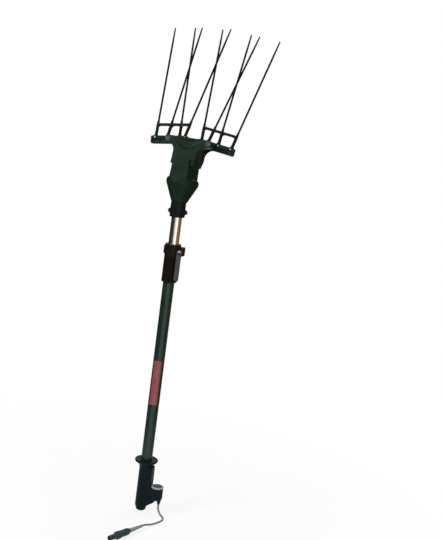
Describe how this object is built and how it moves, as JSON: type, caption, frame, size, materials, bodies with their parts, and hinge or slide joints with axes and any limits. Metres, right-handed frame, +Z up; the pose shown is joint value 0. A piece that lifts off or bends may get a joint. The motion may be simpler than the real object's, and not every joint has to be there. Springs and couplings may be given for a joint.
{
  "type": "electric olive harvester",
  "caption": "Telescopic pole harvester with a motor head that claps two long-tined combs together, a push-button handle with a hand guard and a short supply cord with a plug.",
  "frame": {"origin": "middle of the flat on the end cap, where the pole stands", "axes": "+Z up the pole towards the combs, +X towards the switch pod, -Y is the front"},
  "size_m": [0.3472, 0.5162, 1.5211],
  "materials": {
    "painted_tube": "gloss",
    "bare_tube": "satin",
    "black_nylon": "matte",
    "green_shell": "satin",
    "handle_plastic": "satin",
    "grey_plastic": "satin",
    "button_rubber": "matte",
    "cord_rubber": "matte",
    "grip_rubber": "matte",
    "label_film": "gloss",
    "zinc_steel": "satin",
    "passivated_steel": "satin",
    "brass": "satin",
    "white_acetal": "satin",
    "tine_carbon": "gloss",
    "copper_winding": "satin",
    "ferrite": "matte",
    "red_wire": "satin"
  },
  "bodies": {
    "pole": {"outer_tube": "painted_tube", "end_cap": "black_nylon", "handle_front": "handle_plastic", "handle_rear": "handle_plastic", "handle_screws": "zinc_steel", "switch_bezel": "grey_plastic", "switch_body": "black_nylon", "button_spring": "zinc_steel", "handle_lead": "cord_rubber", "coiled_lead": "cord_rubber", "label": "label_film", "lock_collar": "black_nylon", "lock_grip": "grip_rubber", "clamp_bolt": "zinc_steel", "clamp_nut": "zinc_steel", "lever_pin": "zinc_steel", "cord_gland": "black_nylon", "supply_cord": "cord_rubber", "plug_boot": "grey_plastic", "plug_body": "black_nylon", "plug_contacts": "brass"},
    "head": {"inner_tube": "bare_tube", "slide_bush": "white_acetal", "neck_socket": "black_nylon", "socket_bolt": "passivated_steel", "socket_nut": "zinc_steel", "head_front": "green_shell", "head_rear": "green_shell", "head_screws": "zinc_steel", "motor_plate": "zinc_steel", "motor_can": "zinc_steel", "motor_magnets": "ferrite", "motor_end_cap": "black_nylon", "motor_bearings": "zinc_steel", "motor_leads": "red_wire", "crank_bearings": "zinc_steel", "guide_rods": "zinc_steel", "pivot_bolts": "zinc_steel", "pivot_nuts": "zinc_steel", "pivot_spacers": "black_nylon"},
    "lock_lever": {"lock_lever": "grey_plastic"},
    "switch_button": {"switch_button": "button_rubber"},
    "plug_ring": {"plug_ring": "black_nylon"},
    "rotor": {"rotor_shaft": "zinc_steel", "armature": "copper_winding", "drive_pinion": "brass"},
    "crank": {"crank_shaft": "zinc_steel", "crown_gear": "white_acetal", "crank_roller": "zinc_steel"},
    "yoke": {"drive_yoke": "grey_plastic"},
    "comb_left": {"comb_bar_left": "green_shell", "tine_posts_left": "black_nylon", "tines_left": "tine_carbon", "set_screws_left": "zinc_steel"},
    "comb_right": {"comb_bar_right": "green_shell", "tine_posts_right": "black_nylon", "tines_right": "tine_carbon", "set_screws_right": "zinc_steel"}
  },
  "joints": [
    {"name": "telescope", "type": "slide", "parent": "pole", "child": "head", "axis": [0, 0, 1], "range_m": [-0.075, 0.5], "deforming": ["coiled_lead"]},
    {"name": "lock_lever_turn", "type": "hinge", "parent": "pole", "child": "lock_lever", "pos_m": [0.029, -0.017, 0.843], "axis": [-1, 0, 0], "range_deg": [0, 110]},
    {"name": "switch_press", "type": "slide", "parent": "pole", "child": "switch_button", "axis": [0, 0, -1], "range_m": [0, 0.003], "stiffness_N_per_m": 400, "springref_m": -0.002, "deforming": ["button_spring"]},
    {"name": "plug_ring_turn", "type": "hinge", "parent": "pole", "child": "plug_ring", "pos_m": [0.0625, -0.13, 0.012], "axis": [-0.342, -0.9397, 0], "range_deg": [0, 60]},
    {"name": "comb_left_swing", "type": "hinge", "parent": "head", "child": "comb_left", "pos_m": [-0.065, 0.03213, 1.17019], "axis": [0, 0.9848, -0.1736], "range_deg": [0, 15]},
    {"name": "comb_right_swing", "type": "hinge", "parent": "head", "child": "comb_right", "pos_m": [0.065, 0.03213, 1.17019], "axis": [0, -0.9848, 0.1736], "range_deg": [0, 15]},
    {"name": "yoke_slide", "type": "slide", "parent": "head", "child": "yoke", "axis": [0, -0.1736, -0.9848], "range_m": [0, 0.00843]},
    {"name": "crank_spin", "type": "hinge", "parent": "head", "child": "crank", "pos_m": [0, 0.0257, 1.13375], "axis": [0, 0.9848, -0.1736], "continuous": true},
    {"name": "rotor_spin", "type": "hinge", "parent": "head", "child": "rotor", "pos_m": [0, 0, 0.988], "axis": [0, 0.1736, 0.9848], "continuous": true}
  ],
  "couplings": [
    {"joint": "comb_right_swing", "follows": "comb_left_swing", "ratio": 1},
    {"joint": "yoke_slide", "follows": "comb_left_swing", "m_per_rad": 0.032184},
    {"joint": "rotor_spin", "follows": "crank_spin", "ratio": -5}
  ]
}
